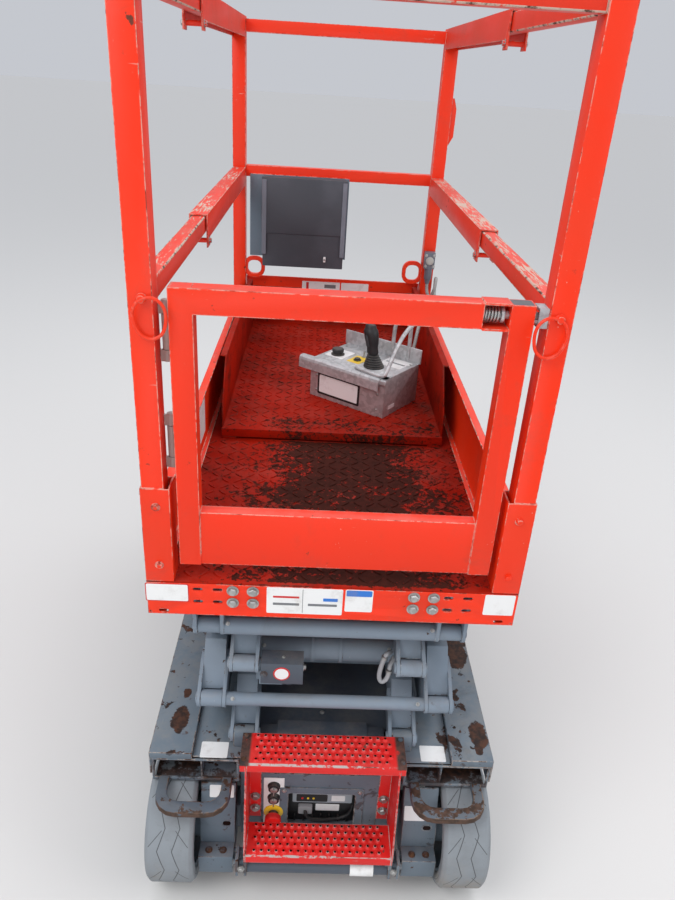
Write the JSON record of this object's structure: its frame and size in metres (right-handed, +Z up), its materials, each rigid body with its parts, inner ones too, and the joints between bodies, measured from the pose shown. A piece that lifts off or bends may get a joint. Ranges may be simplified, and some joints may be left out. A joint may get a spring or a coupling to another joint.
{
  "type": "scissor lift",
  "caption": "Compact electric scissor lift: guardrailed platform with a roll-out deck and rear gate on stacked scissor arms, wheeled chassis with ladder.",
  "frame": {"origin": "on the floor under the middle of the lowered machine", "axes": "+X to the right seen from the ladder end, +Y from the ladder towards the steered front, +Z up"},
  "size_m": [0.81, 1.78, 1.97],
  "materials": {
    "tyre_rubber": "matte",
    "rim_paint": "semi-gloss",
    "chassis_paint": "semi-gloss",
    "arm_paint": "semi-gloss",
    "rail_paint": "gloss",
    "deck_paint": "semi-gloss",
    "zinc_steel": "satin",
    "rod_chrome": "polished",
    "dark_cover": "satin",
    "black_plastic": "matte",
    "cable_jacket": "matte",
    "battery_case": "matte",
    "plate_paint": "satin",
    "arm_cylinder": "gloss"
  },
  "bodies": {
    "chassis": {"chassis_frame": "chassis_paint", "nose_frame": "chassis_paint", "side_decks": "chassis_paint", "fork_pockets": "chassis_paint", "tie_loops": "chassis_paint", "ladder": "rail_paint", "roller_tracks": "chassis_paint", "arm_brackets": "chassis_paint", "rear_axle": "chassis_paint", "front_axle": "chassis_paint", "control_panel": "plate_paint", "charger": "black_plastic", "ground_controls": "black_plastic", "belly_cover": "dark_cover", "rear_covers": "chassis_paint", "rear_brackets": "chassis_paint", "tray_hangers": "chassis_paint", "pothole_guards": "chassis_paint"},
    "knuckle_left": {"knuckle_left": "chassis_paint"},
    "knuckle_right": {"knuckle_right": "chassis_paint"},
    "tie_rod": {"tie_rod": "chassis_paint"},
    "tray_left": {"tray_left": "chassis_paint", "batteries_left": "battery_case"},
    "tray_right": {"tray_right": "chassis_paint", "hydraulic_unit_right": "black_plastic"},
    "lower_rollers": {"rollers_lower": "zinc_steel"},
    "upper_rollers": {"rollers_upper": "zinc_steel"},
    "lift_cylinder": {"lift_cylinder": "arm_cylinder"},
    "lift_rod": {"lift_rod": "rod_chrome"},
    "platform": {"platform_frame": "rail_paint", "main_deck": "deck_paint", "toe_walls": "deck_paint", "rear_post_left": "rail_paint", "rear_post_right": "rail_paint", "deck_hinge": "arm_paint", "fixed_rails": "rail_paint"},
    "gate": {"gate": "rail_paint", "gate_latch": "zinc_steel"},
    "roll_deck": {"roll_deck": "deck_paint", "roll_walls": "deck_paint", "sliding_rails": "rail_paint", "front_guard": "rail_paint", "document_box": "dark_cover", "control_box": "zinc_steel", "control_cable": "cable_jacket", "cable_plug": "black_plastic"},
    "wheel_rear_left": {"tyre_rear_left": "tyre_rubber", "rim_rear_left": "rim_paint"},
    "wheel_rear_right": {"tyre_rear_right": "tyre_rubber", "rim_rear_right": "rim_paint"},
    "wheel_front_left": {"tyre_front_left": "tyre_rubber", "rim_front_left": "rim_paint"},
    "wheel_front_right": {"tyre_front_right": "tyre_rubber", "rim_front_right": "rim_paint"},
    "arms_1_inner": {"arms_1_inner": "arm_paint"},
    "arms_1_outer": {"arms_1_outer": "arm_paint"},
    "arms_2_outer": {"arms_2_outer": "arm_paint"},
    "arms_2_inner": {"arms_2_inner": "arm_paint"},
    "arms_3_inner": {"arms_3_inner": "arm_paint"},
    "arms_3_outer": {"arms_3_outer": "arm_paint"}
  },
  "joints": [
    {"name": "lift", "type": "hinge", "parent": "chassis", "child": "arms_1_inner", "pos_m": [0, -0.715, 0.412], "axis": [1, 0, 0], "range_deg": [0, 60]},
    {"name": "scissor_1", "type": "hinge", "parent": "arms_1_inner", "child": "arms_1_outer", "pos_m": [0, 0.02295, 0.467], "axis": [1, 0, 0], "range_deg": [-120, 0]},
    {"name": "scissor_2", "type": "hinge", "parent": "arms_1_outer", "child": "arms_2_outer", "pos_m": [0, -0.715, 0.522], "axis": [1, 0, 0], "range_deg": [0, 120]},
    {"name": "scissor_3", "type": "hinge", "parent": "arms_2_outer", "child": "arms_2_inner", "pos_m": [0, 0.02295, 0.577], "axis": [1, 0, 0], "range_deg": [-120, 0]},
    {"name": "scissor_4", "type": "hinge", "parent": "arms_2_inner", "child": "arms_3_inner", "pos_m": [0, -0.715, 0.632], "axis": [1, 0, 0], "range_deg": [0, 120]},
    {"name": "scissor_5", "type": "hinge", "parent": "arms_3_inner", "child": "arms_3_outer", "pos_m": [0, 0.02295, 0.687], "axis": [1, 0, 0], "range_deg": [-120, 0]},
    {"name": "platform_level", "type": "hinge", "parent": "arms_3_outer", "child": "platform", "pos_m": [0, -0.715, 0.742], "axis": [1, 0, 0], "range_deg": [0, 60]},
    {"name": "cylinder_swing", "type": "hinge", "parent": "arms_1_inner", "child": "lift_cylinder", "pos_m": [0, 0.41091, 0.44], "axis": [1, 0, 0], "range_deg": [-122.56, 0]},
    {"name": "cylinder_stroke", "type": "slide", "parent": "lift_cylinder", "child": "lift_rod", "axis": [0, -0.983, 0.1835], "range_m": [0, 0.6209]},
    {"name": "lower_roller_spin", "type": "hinge", "parent": "arms_1_outer", "child": "lower_rollers", "pos_m": [0, 0.76091, 0.412], "axis": [1, 0, 0], "continuous": true},
    {"name": "upper_roller_spin", "type": "hinge", "parent": "arms_3_inner", "child": "upper_rollers", "pos_m": [0, 0.76091, 0.742], "axis": [1, 0, 0], "continuous": true},
    {"name": "deck_extension", "type": "slide", "parent": "platform", "child": "roll_deck", "axis": [0, 1, 0], "range_m": [0, 0.9]},
    {"name": "gate_swing", "type": "hinge", "parent": "platform", "child": "gate", "pos_m": [-0.323, -0.722, 1.215], "axis": [0, 0, 1], "range_deg": [0, 75]},
    {"name": "tray_swing_left", "type": "hinge", "parent": "chassis", "child": "tray_left", "pos_m": [-0.39, -0.566, 0.196], "axis": [0, 0, 1], "range_deg": [0, 90]},
    {"name": "tray_swing_right", "type": "hinge", "parent": "chassis", "child": "tray_right", "pos_m": [0.39, -0.566, 0.196], "axis": [0, 0, 1], "range_deg": [-90, 0]},
    {"name": "steer", "type": "hinge", "parent": "chassis", "child": "knuckle_left", "pos_m": [-0.262, 0.5825, 0.1525], "axis": [0, 0, 1], "range_deg": [-60, 60]},
    {"name": "steer_right", "type": "hinge", "parent": "chassis", "child": "knuckle_right", "pos_m": [0.262, 0.5825, 0.1525], "axis": [0, 0, 1], "range_deg": [-60, 60]},
    {"name": "steer_link", "type": "hinge", "parent": "knuckle_left", "child": "tie_rod", "pos_m": [-0.262, 0.6525, 0.0825], "axis": [0, 0, 1], "range_deg": [-60, 60]},
    {"name": "wheel_spin_rear_left", "type": "hinge", "parent": "chassis", "child": "wheel_rear_left", "pos_m": [-0.349, -0.7375, 0.1525], "axis": [1, 0, 0], "continuous": true},
    {"name": "wheel_spin_rear_right", "type": "hinge", "parent": "chassis", "child": "wheel_rear_right", "pos_m": [0.349, -0.7375, 0.1525], "axis": [1, 0, 0], "continuous": true},
    {"name": "wheel_spin_front_left", "type": "hinge", "parent": "knuckle_left", "child": "wheel_front_left", "pos_m": [-0.349, 0.5825, 0.1525], "axis": [1, 0, 0], "continuous": true},
    {"name": "wheel_spin_front_right", "type": "hinge", "parent": "knuckle_right", "child": "wheel_front_right", "pos_m": [0.349, 0.5825, 0.1525], "axis": [1, 0, 0], "continuous": true}
  ],
  "couplings": [
    {"joint": "scissor_1", "follows": "lift", "ratio": -2},
    {"joint": "scissor_2", "follows": "lift", "ratio": 2},
    {"joint": "scissor_3", "follows": "lift", "ratio": -2},
    {"joint": "scissor_4", "follows": "lift", "ratio": 2},
    {"joint": "scissor_5", "follows": "lift", "ratio": -2},
    {"joint": "platform_level", "follows": "lift", "ratio": 1},
    {"joint": "cylinder_swing", "follows": "lift", "ratio": -2.0418},
    {"joint": "cylinder_stroke", "follows": "lift", "m_per_rad": 0.59246},
    {"joint": "steer_right", "follows": "steer", "ratio": 1},
    {"joint": "steer_link", "follows": "steer", "ratio": -1}
  ]
}
